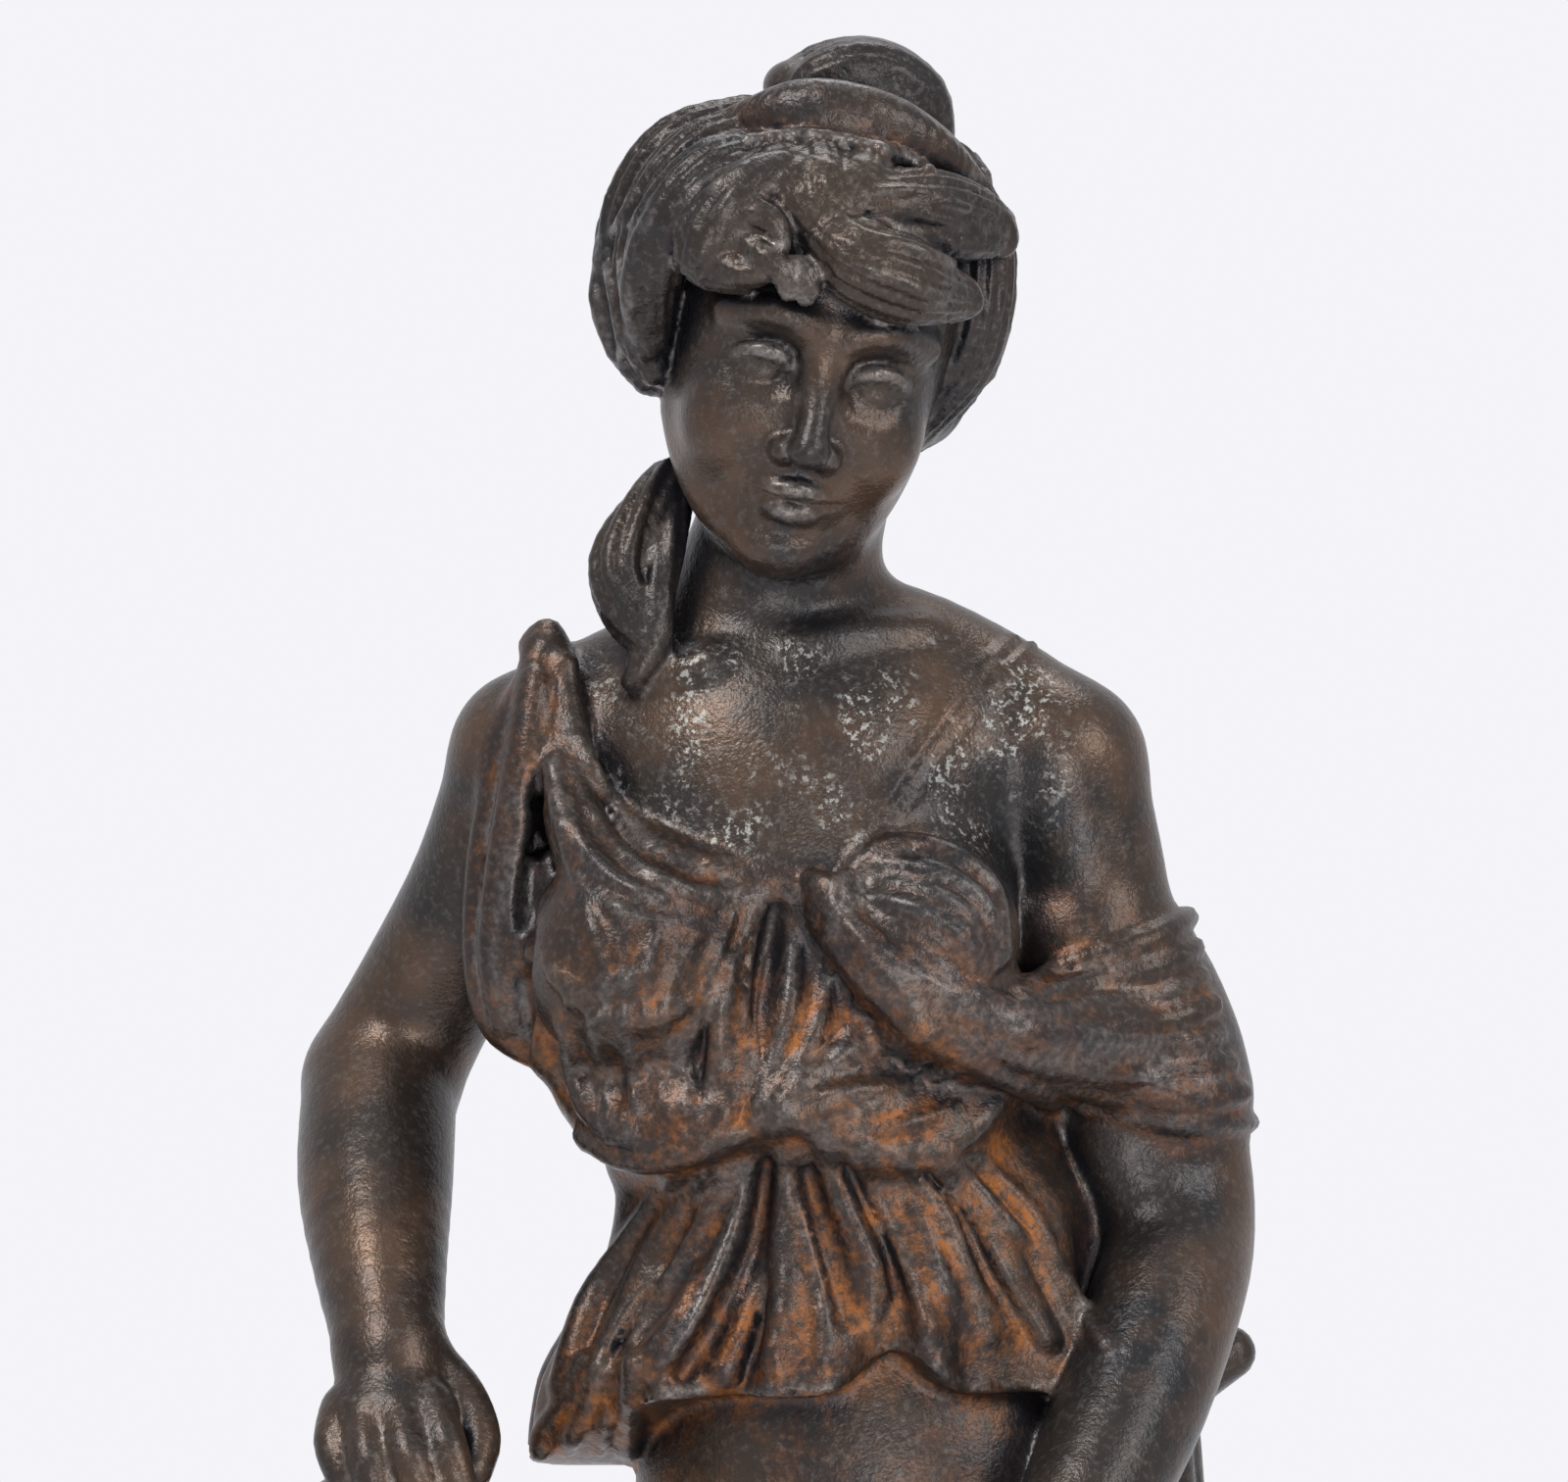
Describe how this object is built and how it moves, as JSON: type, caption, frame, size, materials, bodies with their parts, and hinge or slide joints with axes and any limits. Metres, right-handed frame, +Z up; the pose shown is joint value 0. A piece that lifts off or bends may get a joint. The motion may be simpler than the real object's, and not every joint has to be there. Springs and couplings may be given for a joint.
{
  "type": "bronze female figure sculpture",
  "caption": "Standing draped woman in dark bronze with one hand on a rock and a broken tree trunk behind her, on a low round moulded base",
  "frame": {"origin": "middle of the base's underside, on the surface it stands on", "axes": "+Z up along the figure, -Y to the figure's front, +X to the viewer's right when looking at the front, which is the figure's left"},
  "size_m": [0.2, 0.2, 0.6562],
  "materials": {
    "patinated_bronze": "dark brown to grey-olive patina over cast bronze, semi-gloss, worn brighter on high points, rust-brown in folds",
    "dark_bronze": "dark brown patina, semi-gloss, turned mouldings worn at their edges"
  },
  "bodies": {
    "root": {"figure": "patinated_bronze", "base": "dark_bronze"}
  },
  "joints": []
}
